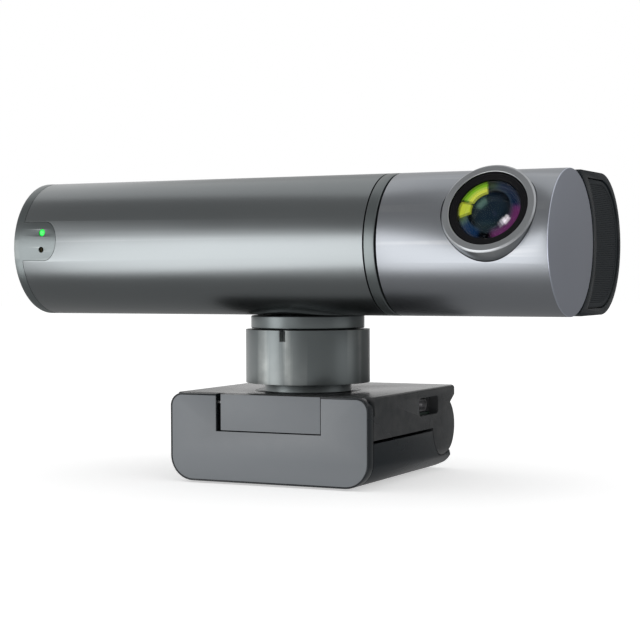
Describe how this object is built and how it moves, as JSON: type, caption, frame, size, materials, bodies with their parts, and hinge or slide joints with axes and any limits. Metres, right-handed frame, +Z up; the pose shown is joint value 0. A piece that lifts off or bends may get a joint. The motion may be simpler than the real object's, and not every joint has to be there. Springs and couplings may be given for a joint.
{
  "type": "pan and tilt camera",
  "caption": "Desktop pan and tilt camera: a bar-shaped body with a turning lens head, on a round pan column and a folding base with a front flap.",
  "frame": {"origin": "on the pan axis, at the underside of the foot's rubber pad, which the camera stands on", "axes": "+X along the camera body towards the lens head, -Y the side that the lens looks to, +Z up along the pan axis"},
  "size_m": [0.1507, 0.0688, 0.0801],
  "materials": {
    "base_plastic": "satin dark grey moulded shell",
    "inner_plastic": "black moulded plastic",
    "flap_metal": "fine satin mid grey",
    "rubber": "matt black rubber",
    "steel": "plain steel",
    "heat_sink_metal": "plain aluminium",
    "board": "green circuit board",
    "trim_metal": "satin greenish grey",
    "sleeve_metal": "satin gunmetal anodised",
    "head_metal": "satin light gunmetal anodised",
    "grille": "black fine mesh",
    "lamp": "lit green light guide",
    "brass": "plated can",
    "lens_glass": "coated lens glass"
  },
  "bodies": {
    "foot": {"leg_shell": "base_plastic", "leg_weight": "steel", "leg_grip_pad": "rubber", "foot_pad": "rubber"},
    "base": {"base_cover": "base_plastic", "base_floor": "inner_plastic", "base_screw_1": "steel", "base_screw_2": "steel", "base_screw_3": "steel", "base_screw_4": "steel", "base_board": "board", "usb_socket": "steel", "leg_pin": "steel", "flap_pin": "steel", "neck": "trim_metal", "neck_nut": "steel", "pan_collar": "trim_metal", "pan_bearing": "steel", "pan_motor": "steel", "tongue_face": "flap_metal"},
    "flap": {"front_flap": "base_plastic", "flap_face": "flap_metal", "flap_pad": "rubber"},
    "camera_body": {"pan_ring": "trim_metal", "pan_shaft": "steel", "pan_plate": "steel", "pan_screw_1": "steel", "pan_screw_2": "steel", "body_sleeve": "sleeve_metal", "left_end_cap": "trim_metal", "left_grille": "grille", "left_speaker": "inner_plastic", "status_board": "board", "status_lamp": "lamp", "microphone": "brass", "main_board": "board", "heat_sink": "heat_sink_metal", "seam_ring": "trim_metal", "tilt_bearing": "steel", "motor_bracket": "steel", "tilt_motor": "steel", "rear_shell": "base_plastic", "right_grille": "grille", "right_speaker": "inner_plastic"},
    "lens_head": {"head_shell": "head_metal", "head_end_disc": "head_metal", "head_hub": "inner_plastic", "tilt_shaft": "steel", "lens_bezel": "trim_metal", "lens_trim": "inner_plastic", "front_lens": "lens_glass", "middle_lens": "lens_glass", "rear_lens": "lens_glass", "lens_barrel": "inner_plastic", "sensor_board": "board", "image_sensor": "inner_plastic", "head_frame": "heat_sink_metal"}
  },
  "joints": [
    {"name": "foot_fold", "type": "hinge", "parent": "foot", "child": "base", "pos_m": [0, 0.0285, 0.0122], "axis": [-1, 0, 0], "range_deg": [0, 90]},
    {"name": "flap_swing", "type": "hinge", "parent": "base", "child": "flap", "pos_m": [0, -0.0205, 0.021], "axis": [-1, 0, 0], "range_deg": [0, 90]},
    {"name": "pan", "type": "hinge", "parent": "base", "child": "camera_body", "pos_m": [0, 0, 0.0396], "axis": [0, 0, 1], "range_deg": [-150, 150]},
    {"name": "tilt", "type": "hinge", "parent": "camera_body", "child": "lens_head", "pos_m": [0.061, -0.011, 0.06155], "axis": [-1, 0, 0], "range_deg": [-96, 43]}
  ]
}
